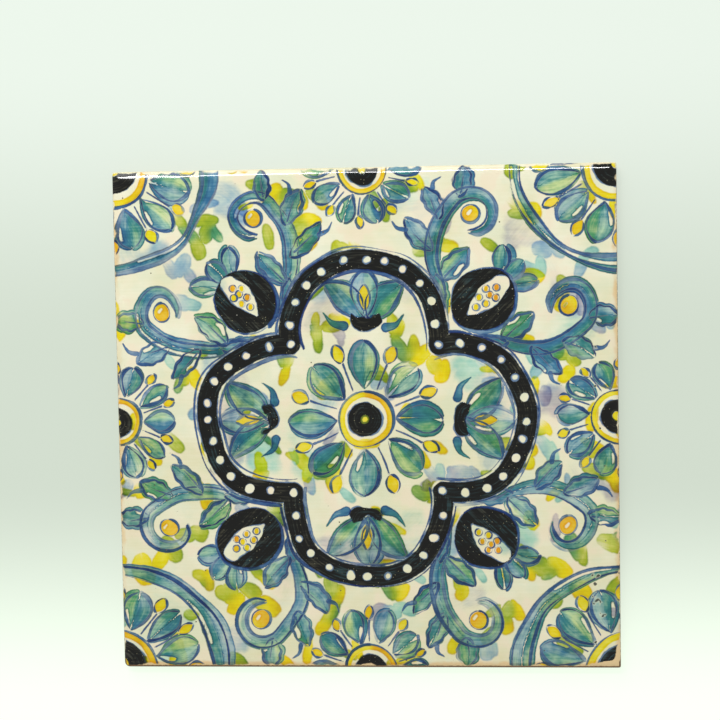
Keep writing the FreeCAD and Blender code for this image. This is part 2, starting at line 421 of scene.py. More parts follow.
def nearest(spots, path):
    """How far each spot is from a path, how far along the path it is, and on which side, as 1 or -1."""
    start, step = path[:-1], np.diff(path, axis=0)
    length = np.maximum(np.hypot(*step.T), 1e-9)
    from_start = spots[:, None] - start
    share = np.clip((from_start * step).sum(-1) / length**2, 0, 1)
    gap = np.linalg.norm(from_start - share[..., None] * step, axis=-1)
    piece = gap.argmin(1)
    row = np.arange(len(spots))
    offset, way = from_start[row, piece], step[piece]
    side = np.where(way[:, 0] * offset[:, 1] > way[:, 1] * offset[:, 0], 1.0, -1.0)
    return gap[row, piece], reached_lengths(path)[piece] + share[row, piece] * length[piece], side


def inside(spots, outline):
    """Whether each spot is inside a closed outline."""
    x, y = spots[:, :1], spots[:, 1:]
    x_start, y_start = outline.T
    x_end, y_end = np.roll(outline, -1, axis=0).T
    rise = np.where(y_end == y_start, 1e-9, y_end - y_start)
    crosses = ((y_start > y) != (y_end > y)) & (x < (x_end - x_start) * (y - y_start) / rise + x_start)
    return crosses.sum(1) % 2 == 1


def outline_edge(spots, outline):
    """The distance to a closed outline, negative inside it."""
    gap = nearest(spots, np.vstack([outline, outline[:1]]))[0]
    return np.where(inside(spots, outline), -gap, gap)


class Face:
    """The small cells of the face that paint can lie on, with the places of their corners."""

    def __init__(self, mesh, lowest):
        places = np.empty(len(mesh.vertices) * 3, np.float32)
        mesh.vertices.foreach_get("co", places)
        places = places.reshape(-1, 3).astype(float) / MM
        first, sides = (np.empty(len(mesh.polygons), np.int32) for _ in range(2))
        mesh.polygons.foreach_get("loop_start", first)
        mesh.polygons.foreach_get("loop_total", sides)
        corners = np.empty(len(mesh.loops), np.int32)
        mesh.loops.foreach_get("vertex_index", corners)
        loops = first[sides == 4][:, None] + np.arange(4)
        on_face = places[corners[loops]][..., 2].mean(1) > lowest
        self.loops = loops[on_face]
        self.cells = corners[self.loops]
        self.spots = places[:, :2]
        self.centres = self.spots[self.cells].mean(1)


SIDE, HALF, TONE, ACROSS, ALONG, LOAD = range(6)


class Coat:
    """One coat of paint, as what each cell of the face knows of the nearest brush mark.

    A cell keeps the values of one mark at its four corners, so a stroke thinner than the cell stays
    sharp. The mark's edge is where the size of side equals half: side is the distance to a stroke's
    middle line, with a sign in the cells that the line crosses, and half is half its width. A filled
    shape has its edge's distance and FAR as side, and FAR as half. tone picks the pigment, across and
    along are the place in the mark's own directions, and load is how much pigment the brush gives.
    """

    def __init__(self, name, face):
        self.name = name
        self.face = face
        self.edge = np.full(len(face.cells), FAR)
        self.values = np.zeros((len(face.cells), 4, 6))
        self.values[..., SIDE] = 2 * FAR
        self.values[..., HALF] = FAR

    def near(self, path, widths=0.0):
        """The cells that a mark can reach, the places of their corners, and whose each corner is."""
        reach = REACH + np.max(widths) / 2
        low, high = path.min(0) - reach, path.max(0) + reach
        cells = np.flatnonzero(((self.face.centres > low) & (self.face.centres < high)).all(1))
        corners, owner = np.unique(self.face.cells[cells], return_inverse=True)
        return cells, self.face.spots[corners], owner.reshape(-1, 4)

    def keep(self, cells, side, half, tone, across, along, load):
        """Keeps what a mark brings in the cells where it is nearer than the marks before it."""
        values = np.stack(np.broadcast_arrays(side, half, tone, across, along, load), axis=-1)
        edge = (np.abs(values[..., SIDE]) - values[..., HALF]).mean(1)
        won = edge < self.edge[cells]
        self.edge[cells[won]] = edge[won]
        self.values[cells[won]] = values[won]

    def fill(self, outline, tone, base, turn, length, load=0.5, lean=0.0):
        """A filled shape, from its base outwards. Lean is how much load each millimetre across adds."""
        cells, spots, owner = self.near(outline)
        edge = outline_edge(spots, outline)[owner]
        across, along = placed(spots - np.asarray(base, float), turn=-turn)[owner].transpose(2, 0, 1)
        share = np.clip(along / length, 0, 1)
        loads = graded(load, share) + lean * across
        start = outline[0] @ (37.0, 61.0)
        self.keep(cells, FAR + edge, FAR, graded(tone, share), across + start, along, loads)

    def draw(self, path, widths, tone=0.5, load=0.6):
        """A brush stroke along a path, with its full width given at each point."""
        cells, spots, owner = self.near(path, widths)
        gap, along, side = (values[owner] for values in nearest(spots, path))
        reached = reached_lengths(path)
        between_ends = (along > 1e-6) & (along < reached[-1] - 1e-6)
        crossed = (between_ends.all(1) & (gap.min(1) < CELL))[:, None]
        half = np.interp(along, reached, widths) / 2
        share = along / reached[-1]
        start = path[0] @ (37.0, 61.0)
        signed = np.where(crossed, gap * side, gap)
        self.keep(cells, signed, half, graded(tone, share), gap * side + start, along, graded(load, share))

    def leave(self, path, widths):
        """Leaves bare what a stroke along a path would cover."""
        cells, spots, owner = self.near(path, widths)
        gap, along, _ = (values[owner] for values in nearest(spots, path))
        edge = np.interp(along, reached_lengths(path), widths) / 2 - gap
        won = edge.mean(1) > self.edge[cells]
        self.edge[cells[won]] = edge.mean(1)[won]
        self.values[cells[won], :, SIDE] = FAR + edge[won]
        self.values[cells[won], :, HALF] = FAR

    def edge_at(self, spot):
        """How far one spot is from the nearest mark's edge."""
        return self.edge[np.hypot(*(self.face.centres - spot).T).argmin()]

    def run_together(self, rounds):
        """Lets marks that touch bleed into each other, in tone and in load."""
        wet = np.flatnonzero(self.edge < 1.0)
        corners = self.face.cells[wet]
        for column in (TONE, LOAD):
            values = self.values[wet, :, column]
            shared = np.maximum(np.bincount(corners.ravel(), minlength=len(self.face.spots)), 1)
            for _ in range(rounds):
                total = np.bincount(corners.ravel(), values.ravel(), len(self.face.spots))
                values = (total / shared)[corners]
                values = 0.5 * values + 0.5 * values.mean(1, keepdims=True)
            self.values[wet, :, column] = values


class Painter:
    """The coats, and the hand that lays them."""

    def __init__(self, face, paint):
        self.rng = np.random.default_rng(paint.seed)
        self.line_width = paint.line_width / MM
        self.unsteady = paint.unsteady / MM
        self.slip = paint.slip / MM
        self.seed = paint.seed
        names = ("veil", "cool", "warm", "wash", "bright", "line", "black")
        self.coats = [Coat(name, face) for name in names]
        self.veil, self.cool, self.warm, self.wash, self.bright, self.line, self.black = self.coats

    def by_hand(self, points, amount=1.0):
        """Points as an unsteady hand puts them."""
        stray = [
            noise.noise_vector(Vector((x / HAND_LENGTH, y / HAND_LENGTH, self.seed))) for x, y in points
        ]
        return points + amount * self.unsteady * 2 * np.array([(move.x, move.y) for move in stray])

    def pressure(self, count, start=0.35, end=0.35):
        """How the line swells and thins along a stroke, as a share of its full width."""
        t = np.linspace(0, 1, count)
        ends = np.minimum(1, np.minimum(start + t * 6, end + (1 - t) * 6))
        phase = self.rng.uniform(0, 6.28, 2)
        return ends * (1 + 0.38 * np.sin(4.1 * t + phase[0]) + 0.24 * np.sin(11 * t + phase[1]))

    def outline(self, path, width=1.0, tone=0.3):
        """An outline stroke, with a blob of paint where the brush rested."""
        ends = self.rng.uniform(0.25, 1.2, 2)
        load = self.rng.uniform(0.05, 1.25, 2)
        self.line.draw(path, self.line_width * width * self.pressure(len(path), *ends), tone, load)

    def wash_between(self, right, left, tone):
        """Two broad strokes side by side, one bluer than the other, and a sliver left bare in some."""
        middle = (right + left) / 2
        lean = self.rng.choice((-0.28, 0.28))
        overlap = self.rng.uniform(1.2, 1.6)
        for side, way in ((right, lean), (left, -lean)):
            path = (middle + side) / 2 + self.rng.normal(0, self.slip, 2)
            widths = overlap * np.hypot(*(side - middle).T) + 0.5
            tones = tone + way + self.rng.uniform(-0.2, 0.2, 2)
            self.wash.draw(path, widths, tones, self.rng.uniform(0.1, 0.95, 2))
        if self.rng.random() < 0.6:
            first = self.rng.integers(2, len(middle) // 2)
            bare = middle + self.rng.choice((-1, 1)) * self.rng.uniform(0.55, 0.9) * (right - middle)
            bare = bare[first:first + len(middle) // 3]
            self.wash.leave(bare, self.rng.uniform(0.9, 1.5) * np.sin(np.linspace(0.6, 2.5, len(bare))))

    def washed(self, right, left, tone, line=1.0):
        """A washed shape between its two sides, with an outline stroke along each."""
        self.wash_between(right, left, tone)
        self.outline(right, line)
        self.outline(left, 0.9 * line)

    def shape(self, outline, base, turn, tone, line=1.0):
        """A petal or leaf in washes."""
        self.washed(*sides(self.by_hand(placed(outline, base, turn))), tone, line)

    def bead(self, outline, base, turn, length, tone):
        """A small bright shape, with an outline."""
        drawn = self.by_hand(placed(outline, base, turn))
        load = self.rng.uniform(0.4, 0.8, 2)
        self.bright.fill(drawn + self.rng.normal(0, self.slip / 2, 2), tone, base, turn, length, load)
        for side in sides(drawn):
            self.outline(side, 0.75)


def petal(length, width, fullness=0.55, point=0.8, bend=0.0, ruffle=0.0, steps=44):
    """Outline of a petal from the origin along +Y: up its right side and down its left.

    fullness is where along it is widest, and a higher point gives sharper ends.
    """
    t = np.linspace(0, 1, steps)
    swell = np.sin(math.pi * t ** (math.log(0.5) / math.log(fullness))).clip(0) ** point
    half = width / 2 * swell * (1 + ruffle * np.sin(t * 20))
    axis = np.stack([bend * t**2, length * t], axis=1)
    across = np.stack([np.full(steps, length), -2 * bend * t], axis=1)
    across /= np.hypot(*across.T)[:, None]
    right = axis + across * half[:, None]
    left = axis - across * half[:, None]
    return np.vstack([right, left[::-1][1:-1]])


def sides(outline):
    """The two sides of a petal's outline, each from its foot to its tip."""
    tip = len(outline) // 2
    return outline[:tip + 1], np.vstack([outline[:1], outline[tip:][::-1]])


def banks(path, widths):
    """The two sides of a band along a path."""
    step = np.gradient(path, axis=0)
    across = np.stack([step[:, 1], -step[:, 0]], axis=1) / np.hypot(*step.T)[:, None]
    reach = across * widths[:, None] / 2
    return path + reach, path - reach


def circle(radius, steps=40):
    """Points round a circle, closed."""
    angle = np.linspace(0, 2 * math.pi, steps)
    return radius * np.stack([np.sin(angle), np.cos(angle)], axis=1)


def rosette(painter, centre, petals, eye, inner, outer, width, first=0.0, shades=(0.2, 0.5)):
    """A round flower: a black eye, a bright ring, and a ring of washed petals with buds between."""
    middle = painter.by_hand(circle(eye * 0.62) + centre)
    painter.black.draw(middle, np.full(len(middle), eye * 0.72))
    painter.bright.fill(painter.by_hand(circle(eye * 0.3) + centre), 0.1, centre, 0, eye)
    ring = painter.by_hand(circle((eye + inner) / 2 + 0.6) + centre)
    painter.bright.draw(ring, np.full(len(ring), (inner - eye) * 0.6), (0.6, 0.0), (0.75, 0.4))
    painter.outline(painter.by_hand(circle(inner - 0.4) + centre))
    step = 360 / petals
    length = outer - inner
    for number in range(petals):
        turn = first + number * step
        base = placed([(0, inner + 0.6)], centre, turn)[0]
        painter.shape(petal(length, width, 0.6, 0.62), base, turn, shades[number % 2])
        bud_turn = turn + step / 2
        bud_base = placed([(0, inner + length * 0.7)], centre, bud_turn)[0]
        bud = petal(length * 0.4, length * 0.27, 0.5, 0.6)
        painter.bead(bud, bud_base, bud_turn, length * 0.4, painter.rng.uniform(0, 0.4))
        stem = flowing(placed([(0, inner + 1), (0.3, inner + length * 0.68)], centre, bud_turn))
        widths = painter.line_width * np.linspace(0.6, 0.9, len(stem))
        painter.line.draw(painter.by_hand(stem), widths, 0.7)


def garland(painter, centre, radius, width, turn):
    """A broad arc of green and blue round a corner."""
    angle = np.radians(turn + np.linspace(-52, 52, 60))
    path = painter.by_hand(centre - radius * np.stack([-np.sin(angle), np.cos(angle)], axis=1))
    painter.washed(*banks(path, width * painter.pressure(len(path), 1, 1)), 0.28)


LOBE_CENTRE, LOBE_RADIUS, BAND = 34.0, 30.0, 8.0
PAST_NOTCH = 5.0
PEARLS = 12


def lobes(radius):
    """The four arcs of a quatrefoil, each up to the notches where the band or it meets its neighbours."""
    meeting = max(radius, LOBE_RADIUS)
    notch = 45 + math.degrees(math.asin(LOBE_CENTRE / (meeting * math.sqrt(2))))
    notch += 2.0 * (meeting - radius) / BAND * PAST_NOTCH
    angle = np.radians(np.linspace(-notch, notch, 60))
    arc = np.stack([radius * np.sin(angle), LOBE_CENTRE + radius * np.cos(angle)], axis=1)
    return [placed(arc, turn=turn) for turn in range(0, 360, 90)]


def strapwork(painter):
    """The black quatrefoil band with its pearls, and a cobalt line along each side."""
    for arc in lobes(LOBE_RADIUS):
        path = painter.by_hand(arc)
        for coat in painter.coats[:-1]:
            coat.leave(path, np.full(len(path), BAND + 0.6))
        painter.black.draw(path, np.full(len(path), BAND), 0.5, 0.8)
    for arc in lobes(LOBE_RADIUS):
        path = painter.by_hand(arc)
        for share in np.arange(PEARLS) / PEARLS:
            place = path[round(share * (len(path) - 1))] + painter.rng.normal(0, 0.2, 2)
            pearl = place + painter.rng.normal(0, 0.25, (2, 2))
            painter.black.leave(pearl, painter.rng.uniform(2.7, 3.5, 2))
    for radius in (LOBE_RADIUS - BAND / 2 - 0.8, LOBE_RADIUS + BAND / 2 + 0.9):
        for arc in lobes(radius):
            painter.outline(painter.by_hand(arc, 1.3), 1.1, 0.6)


def tulip(painter, base, turn):
    """Three petals over a black cup, inside each lobe of the quatrefoil."""
    for side in (-1, 1):
        start = placed([(side * 2.2, 1)], base, turn)[0]
        painter.shape(petal(19, 10.5, 0.52, 0.66, bend=side * 9.0), start, turn - side * 14, 0.6)
        comma = flowing(placed([(side * 8, -1), (side * 12.5, 0.5), (side * 16, 5)], base, turn))
        painter.wash.draw(painter.by_hand(comma), np.linspace(4.2, 0.8, len(comma)), (0.0, 0.4), (0.9, 0.4))
    painter.shape(petal(21, 10.5, 0.55, 0.7), placed([(0, 2)], base, turn)[0], turn, 0.05)
    painter.bead(petal(11, 4.8, 0.5, 0.7), placed([(0, 5)], base, turn)[0], turn, 11, 0.3)
    cup = flowing(placed([(-5.4, 3.6), (-3.6, 0.6), (0, -0.6), (3.6, 0.6), (5.4, 3.6)], base, turn))
    painter.black.draw(painter.by_hand(cup), 3.8 * painter.pressure(len(cup), 0.3, 0.3), 0.4)


SEEDS = ((0.1, 12.4), (-1.8, 15.8), (1.7, 16.0), (-2.4, 20.0), (0.3, 19.4), (2.6, 20.3), (0.0, 23.2))


def fruit_opening(painter, base, turn):
    """The cleft that is left bare in a fruit, narrow below and wide by the crown, with its widths."""
    cleft = painter.by_hand(flowing(placed([(0, 8.4), (0.3, 16), (0, 25.5)], base, turn)))
    return cleft, np.interp(np.linspace(0, 1, len(cleft)), (0, 0.25, 0.65, 1), (1.0, 5.6, 9.6, 7.0))


def pomegranate(painter, base, turn):
    """A black fruit with a small crown, split open on its seeds."""
    for number in (-1, 0, 1):
        crown = petal(12, 6.5, 0.6, 0.66, bend=number * 2.5)
        painter.shape(crown, placed([(number * 3.0, 26)], base, turn)[0], turn - number * 24, 0.3)
    fruit = placed(petal(26.5, 24, 0.5, 0.5), placed([(0, 3.0)], base, turn)[0], turn)
    drawn = painter.by_hand(fruit)
    painter.black.fill(drawn, 0.5, base, turn, 25, 0.8)
    painter.outline(np.vstack([drawn, drawn[:1]]) + (0.4, -0.4), 1.5)
    for coat in (painter.wash, painter.line, painter.black):
        coat.leave(*fruit_opening(painter, base, turn))
    for spot in SEEDS:
        centre = painter.by_hand(placed([spot], base, turn))[0]
        seed = centre + np.array([(0, -0.4), (0, 0.4)])
        painter.bright.draw(seed, np.full(2, 2.1), painter.rng.uniform(0, 0.9))
        painter.outline(circle(1.5, 12) + centre, 0.5)


STEM = ((5.5, 50.5), (14, 57.5), (25, 64), (33, 74))
EYE_OF_STEM = (26.2, 87.8)
# The curl that ends a stem, from where the stem reaches it, in degrees and millimetres round its eye.
CURL_TURN, CURL_RADIUS = (-11, 236), (9.5, 7.0)
# Each leaf of the foliage has its foot, its turn from straight out, and its length, width and bend.
LEAVES = (
    ((17.0, 60.5), 2, 17, 7.8, 1.5),
    ((27.0, 66.8), -98, 16, 6.9, -3.0),
    ((34.0, 76.5), -58, 14.0, 7.4, 2.5),
    ((34.8, 90.0), -32, 12.0, 6.9, 2.0),
    ((8.0, 52.5), -62, 14, 6.0, -2.0),
)


def stem_line():
    """The middle line of a stem, with the curl round its eye."""
    angle = np.radians(np.linspace(*CURL_TURN, 9))
    around = np.stack([np.cos(angle), np.sin(angle)], axis=1)
    curl = EYE_OF_STEM + np.linspace(*CURL_RADIUS, 9)[:, None] * around
    return flowing(np.vstack([STEM, curl]))


def foliage(painter, turn, side):
    """A curling stem beside each fruit, with its leaves and a berry in its eye."""
    for foot, lean, length, width, bend in LEAVES:
        base = placed([(side * foot[0], foot[1])], turn=turn)[0]
        leaf = petal(length, width, 0.5, 0.7, bend=side * bend, ruffle=0.09)
        leaf_turn = turn + side * lean
        painter.shape(leaf, base, leaf_turn, 0.4 + 0.3 * painter.rng.normal())
        vein = flowing(placed([(0, 1), (side * bend * 0.3, length * 0.7)], base, leaf_turn))
        painter.line.draw(vein, painter.line_width * np.linspace(0.9, 0.3, len(vein)), 0.3, (0.6, 0.3))
    path = painter.by_hand(placed(stem_line() * (side, 1), turn=turn))
    widths = np.interp(np.linspace(0, 1, len(path)), [0, 0.2, 0.7, 0.92, 1], [2.2, 5.0, 3.9, 2.5, 0.7])
    painter.washed(*banks(path, widths), 0.22)
    berry = placed([(side * EYE_OF_STEM[0], EYE_OF_STEM[1])], turn=turn)[0]
    painter.bright.fill(painter.by_hand(circle(3.6) + berry), (0.6, 0.0), berry, turn, 6)
    painter.bright.leave(berry + np.array([(-1.6, 0.4), (-0.6, 1.6)]), np.array([0.9, 0.7]))
    painter.outline(painter.by_hand(circle(3.7) + berry), 0.8)


def fillers(painter, turn):
    """Small cobalt strokes in the gaps of one quarter."""
    for side in (-1, 1):
        for across, out, lean in ((44.5, 84, 12), (40, 64.5, 95)):
            base = placed([(side * across, out)], turn=turn)[0]
            stroke = flowing(placed([(0, 0), (side * 1.2, 3.2), (0, 6.6)], base, turn - side * lean))
            painter.line.draw(painter.by_hand(stroke), 2.4 * np.linspace(1, 0.25, len(stroke)), 0.2)


VEIL_TONES = (0.0, 0.1, 0.4, 0.5, 0.95)
COOL_TONES = (0.0, 0.15, 0.45, 0.95)
WARM_TONES = (0.0, 0.0, 0.0, 0.12, 0.45)


def veils(painter, half):
    """Broad pale strokes of much thinned aqua, blue and lilac under everything else."""
    for turn in range(0, 360, 90):
        for points in (((-17, 50), (0, 57), (17, 50)), ((-20, 38), (-12, 45), (-6, 52))):
            path = painter.by_hand(flowing(placed(points, turn=turn)), 2.0)
            width = 11 * painter.pressure(len(path), 0.7, 0.7)
            painter.veil.draw(path, width, painter.rng.choice(VEIL_TONES), painter.rng.uniform(0.25, 0.7, 2))
    for _ in range(30):
        spot = painter.rng.uniform(-half, half, 2)
        turn = painter.rng.normal(60, 40)
        length = painter.rng.uniform(14, 30)
        path = flowing(placed([(0, -length / 2), (painter.rng.normal(0, 3), 0), (0, length / 2)], spot, turn))
        width = painter.rng.uniform(7, 13) * painter.pressure(len(path), 0.8, 0.6)
        painter.veil.draw(path, width, painter.rng.choice(VEIL_TONES), (painter.rng.uniform(0.3, 0.75), 0.0))


def soft_dabs(painter, half, pitch):
    """Stacks and fans of soft dabs in the open ground: yellow that bleeds into green, aqua and lilac."""
    rng = painter.rng
    for column in np.arange(-half, half + pitch, pitch):
        for row in np.arange(-half, half + pitch, pitch):
            spot = np.array([column, row]) + rng.uniform(-0.45, 0.45, 2) * pitch
            crowded = min(painter.black.edge_at(spot), painter.bright.edge_at(spot)) < 0.5
            if crowded or painter.wash.edge_at(spot) < -0.6:
                continue
            # The dabs lie closest together in the lower third, and there most of them are yellow and green.
            low = row < -half / 3
            if rng.random() > (1.0 if low else 0.82):
                continue
            warm = rng.random() < (0.76 if low else 0.72)
            coat = painter.warm if warm else painter.cool
            first_tone = rng.choice(WARM_TONES if warm else COOL_TONES)
            lean, fan, stack = rng.normal(15, 40), rng.uniform(5, 60), rng.uniform(0, 0.6)
            length = rng.uniform(7, 12) if warm else rng.uniform(7, 11)
            for number in range(rng.integers(1, 4)):
                width = length * rng.uniform(0.42, 0.7)
                turn = lean + number * fan
                base = placed([(0, number * stack * length)], spot + rng.uniform(-1, 1, 2), lean)[0]
                dab = painter.by_hand(placed(petal(length, width, 0.46, 0.38), base, turn), 1.8)
                tone = first_tone + number * rng.uniform(0.1, 0.5)
                load = (rng.uniform(0.75, 1.2), rng.uniform(0.0, 0.8))
                coat.fill(dab, tone, base, turn, length, load, rng.normal(0, 0.05))


def paint_face(face, paint, half):
    """Lays the whole painting and returns its coats."""
    painter = Painter(face, paint)
    rosette(painter, (0, 0), 8, 7.0, 11.5, 29.5, 10.4, shades=(0.3, 0.6))
    for turn in range(0, 360, 90):
        tulip(painter, placed([(0, 37)], turn=turn)[0], turn)
        rosette(painter, placed([(0, half)], turn=turn)[0], 10, 6.5, 10.5, 23.0, 7.5, 18, (0.55, 0.25))
        corner = placed([(0, half * math.sqrt(2))], turn=turn + 45)[0]
        rosette(painter, corner, 12, 10.0, 15.0, 32.0, 10.0, 15, (0.25, 0.6))
        garland(painter, corner, 39.6, 4.6, turn + 45)
        for side in (-1, 1):
            foliage(painter, turn + 45, side)
        pomegranate(painter, placed([(0, 51)], turn=turn + 45)[0], turn + 45)
        fillers(painter, turn + 45)
    veils(painter, half)
    soft_dabs(painter, half, paint.dab_pitch / MM)
    for turn in range(45, 405, 90):
        for coat in (painter.warm, painter.cool):
            coat.leave(*fruit_opening(painter, placed([(0, 51)], turn=turn)[0], turn))
    strapwork(painter)
    painter.veil.run_together(40)
    for coat in (painter.cool, painter.warm):
        coat.run_together(15)
    for coat in (painter.wash, painter.bright):
        coat.run_together(6)
    return painter.coats


def keep_coats(mesh, face, coats):
    """Stores each coat on the mesh: its mark as side, half and tone, its brush as across, along and load."""
    for coat in coats:
        for name, columns in (("mark", (SIDE, HALF, TONE)), ("brush", (ACROSS, ALONG, LOAD))):
            values = np.tile(np.float32((2 * FAR, FAR, 0.0)), (len(mesh.loops), 1))
            values[face.loops] = coat.values[..., columns]
            attribute = mesh.attributes.new(f"{coat.name}_{name}", "FLOAT_VECTOR", "CORNER")
            attribute.data.foreach_set("vector", values.ravel())


# The materials


def feed(tree, value, socket):
    """Gives a socket a plain value, another socket's value or a node's first shown output."""
    if isinstance(value, bpy.types.Node):
        value = next(output for output in value.outputs if output.enabled)
    if isinstance(value, bpy.types.NodeSocket):
        tree.links.new(value, socket)
    else:
        socket.default_value = value


def add(tree, kind, inputs=(), **settings):
    """Adds a node with its settings, and feeds its shown inputs in order or by name."""
    node = tree.nodes.new(kind)
    for name, value in settings.items():
        setattr(node, name, value)
    shown = [socket for socket in node.inputs if socket.enabled]
    by_name = {socket.name: socket for socket in reversed(shown)}
    for key, value in inputs.items() if isinstance(inputs, dict) else enumerate(inputs):
        feed(tree, value, by_name[key] if isinstance(key, str) else shown[key])
    return node


def opaque(colour):
    """A colour with full alpha, as a colour socket takes it."""
    return (*colour, 1.0)


def new_material(name):
    """A material with only its Principled shader and output, and its node tree."""
    material = bpy.data.materials.new(name)
    material.use_nodes = True
    shader = next(node for node in material.node_tree.nodes if node.type == "BSDF_PRINCIPLED")
    return material, material.node_tree, shader


def places_in_mm(tree, scale=(1, 1, 1)):
    """Object coordinates in millimetres, or in other lengths along each axis."""
    coordinates = add(tree, "ShaderNodeTexCoord")
    stretch = [factor / MM for factor in scale]
    return add(tree, "ShaderNodeMapping", {"Vector": coordinates.outputs["Object"], "Scale": stretch})


# Pigments as three depths each: thin, full and pooled, over white.
COBALT = ("#B6D8F2", "#4A8AC2", "#1E549E")
TEAL = ("#B4E0E0", "#3E90A8", "#146078")
LEAF_GREEN = ("#D2EABC", "#58A888", "#22704E")
YELLOW = ("#FFF870", "#FAEA04", "#E6C000")
ORANGE = ("#FCD050", "#F6A810", "#CC6A08")
LIME = ("#E0EA90", "#ACC438", "#6C981E")
AQUA = ("#DFF7FB", "#B4E6EE", "#80C2D2")
SKY_BLUE = ("#D6E6FB", "#A0C2F2", "#6892D8")
LILAC = ("#E4E2F2", "#C6C3E0", "#9C98C0")
LINE_COBALT = ("#A4C0E8", "#4A7AC2", "#1E4492")
LINE_INK = ("#98B0DE", "#4866B0", "#203884")


def depths(tree, density, pigment):
    """A pigment's colour at each density."""
    ramp = add(tree, "ShaderNodeValToRGB", {"Fac": density})
    thin, full, pooled = pigment
    ramp.color_ramp.elements[0].color = opaque(linear(thin))
    ramp.color_ramp.elements[1].color = opaque(linear(pooled))
    ramp.color_ramp.elements[1].position = 1.0
    ramp.color_ramp.elements.new(0.5).color = opaque(linear(full))
    return ramp.outputs["Color"]


def blended(tree, tone, density, pigments):
    """Pigments that run into each other as the tone goes from 0 to 1."""
    colour = depths(tree, density, pigments[0])
    gaps = len(pigments) - 1
    for number, pigment in enumerate(pigments[1:]):
        limits = (tone, number / gaps, (number + 1) / gaps)
        share = add(tree, "ShaderNodeMapRange", limits, interpolation_type="SMOOTHSTEP")
        colour = add(tree, "ShaderNodeMix", (share, colour, depths(tree, density, pigment)), data_type="RGBA")
    return colour


def weighed(tree, terms, start=0.0):
    """start plus each (value, weight) pair."""
    total = start
    for value, weight in terms:
        total = add(tree, "ShaderNodeMath", (value, weight, total), operation="MULTIPLY_ADD")
    return total


class Hand:
    """The noises that every coat shares, each on its own real scale."""

    def __init__(self, tree):
        self.place = places_in_mm(tree)
        # Hairs of the brush leave an edge ragged at about a millimetre.
        self.ragged = add(tree, "ShaderNodeTexNoise", {"Vector": self.place, "Scale": 0.9, "Detail": 2.0})
        # A wet brush wavers over half a centimetre, and leaves slivers of ground beside an outline.
        self.waver = add(tree, "ShaderNodeTexNoise", {"Vector": self.place, "Scale": 0.19, "Detail": 1.0})
        # A wash dries in blots of a centimetre or so.
        self.blot = add(tree, "ShaderNodeTexNoise", {"Vector": self.place, "Scale": 0.1, "Detail": 3.0})
        # Pigment curdles into spots of a few millimetres.
        self.curdle = add(tree, "ShaderNodeTexNoise", {"Vector": self.place, "Scale": 0.33, "Detail": 3.0})
        # The broad glaze brush leaves faint level streaks, under a millimetre apart.
        level = places_in_mm(tree, (0.04, 1.2, 1.0))
        self.streak = add(tree, "ShaderNodeTexNoise", {"Vector": level, "Scale": 1.0, "Detail": 2.0})
        # Colour drifts from blue to green over a couple of centimetres.
        self.drift = add(tree, "ShaderNodeTexNoise", {"Vector": self.place, "Scale": 0.065, "Detail": 2.0})


def brush_mark(tree, name):
    """A coat's distance to its mark's edge, its tone, its load and the streaks of its brush hairs."""
    mark = add(tree, "ShaderNodeAttribute", attribute_name=f"{name}_mark")
    side, half, tone = add(tree, "ShaderNodeSeparateXYZ", (mark.outputs["Vector"],)).outputs
    gap = add(tree, "ShaderNodeMath", (side,), operation="ABSOLUTE")
    edge = add(tree, "ShaderNodeMath", (gap, half), operation="SUBTRACT")
    brush = add(tree, "ShaderNodeAttribute", attribute_name=f"{name}_brush")
    load = add(tree, "ShaderNodeSeparateXYZ", (brush.outputs["Vector"],)).outputs["Z"]
    # The hairs draw lines under a millimetre apart that run on for a centimetre.
    drawn_out = {"Vector": brush.outputs["Vector"], "Scale": (1.3, 0.1, 0.0)}
    hairs = add(
        tree,
        "ShaderNodeTexNoise",
        {"Vector": add(tree, "ShaderNodeMapping", drawn_out), "Scale": 1.0, "Detail": 1.0},
    )
    return edge, tone, load, hairs


class Manner(NamedTuple):
    """How a coat is brushed on, with its lengths in millimetres."""

    # How wide its edges are, and how far they stray.
    soft: float
    waver: float = 0.8
    # How wide the rim is along which it dries darker, and how much darker it dries there.
    rim: float = 1.2
    pool: float = 0.3
    # How much thinner it is, and how much further on in tone, in the middle of a mark.
    heart: float = 0.0
    # How much it is streaked, and the load below which it thins out to nothing.
    hairs: float = 0.3
    fade: float = 0.3
    # How dense it is at half load, and how far its tone drifts.
    depth: float = 0.38
    drift: float = 1.2
    # How much of the paint below it the wet brush takes up.
    lift: float = 0.0


